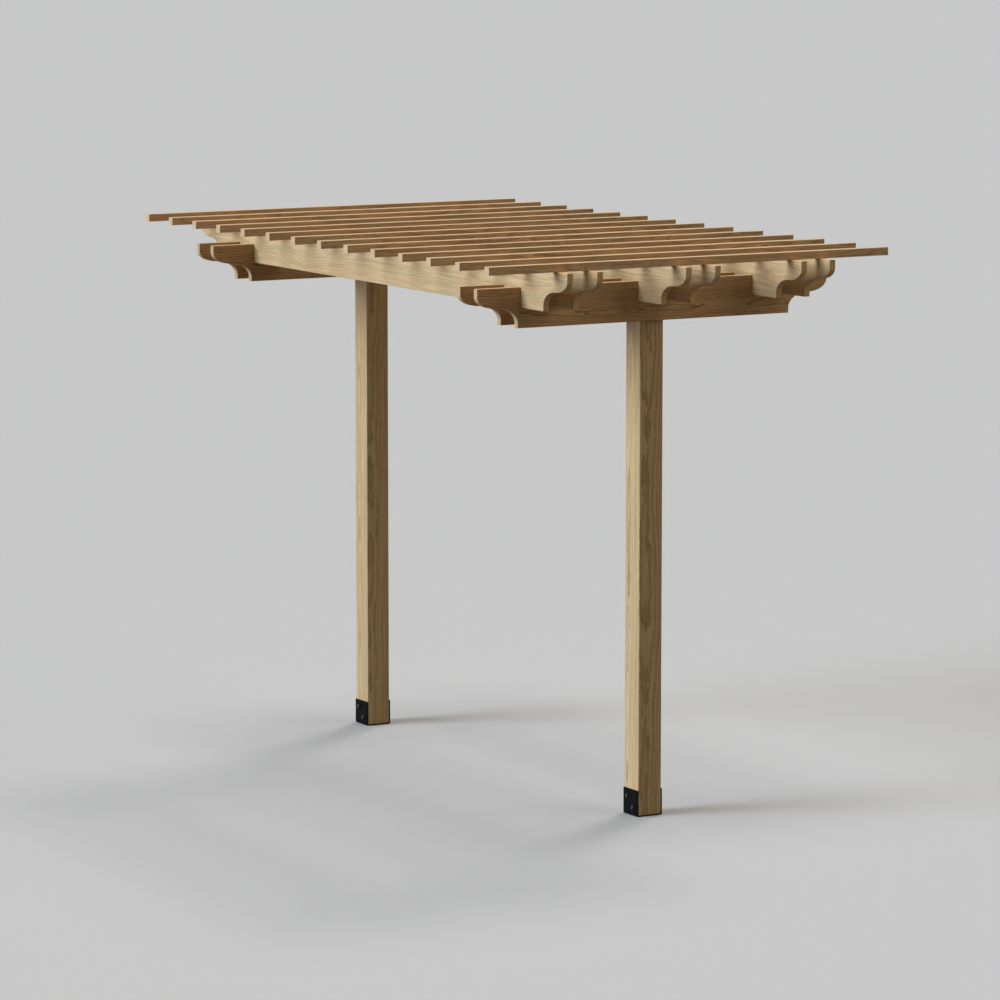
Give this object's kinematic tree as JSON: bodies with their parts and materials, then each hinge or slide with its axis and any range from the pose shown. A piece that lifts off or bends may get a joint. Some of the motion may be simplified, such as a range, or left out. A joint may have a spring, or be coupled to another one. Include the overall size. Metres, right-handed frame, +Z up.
{
  "type": "garden pergola",
  "caption": "Free-standing timber pergola: a flat open roof of shaped rafters and purlins over one line of posts in steel shoes.",
  "frame": {"origin": "on the ground, midway between the two posts", "axes": "+X along the beams and purlins, +Y along the rafters from the front post to the back post, +Z up"},
  "size_m": [2.4, 4.14, 2.977],
  "materials": {
    "post_timber": "planed, oiled light brown timber",
    "plank_timber": "planed, oiled light brown timber",
    "purlin_timber": "planed, oiled light brown timber",
    "shoe_steel": "black satin powder coat"
  },
  "bodies": {
    "root": {"post_front": "post_timber", "post_back": "post_timber", "front_beam_outer": "plank_timber", "front_beam_inner": "plank_timber", "back_beam_outer": "plank_timber", "back_beam_inner": "plank_timber", "rafter_1": "plank_timber", "rafter_2": "plank_timber", "rafter_3": "plank_timber", "rafter_4": "plank_timber", "rafter_5": "plank_timber", "rafter_6": "plank_timber", "purlin_01": "purlin_timber", "purlin_02": "purlin_timber", "purlin_03": "purlin_timber", "purlin_04": "purlin_timber", "purlin_05": "purlin_timber", "purlin_06": "purlin_timber", "purlin_07": "purlin_timber", "purlin_08": "purlin_timber", "purlin_09": "purlin_timber", "purlin_10": "purlin_timber", "purlin_11": "purlin_timber", "purlin_12": "purlin_timber", "purlin_13": "purlin_timber", "purlin_14": "purlin_timber", "post_shoe_front": "shoe_steel", "post_shoe_back": "shoe_steel"}
  },
  "joints": []
}
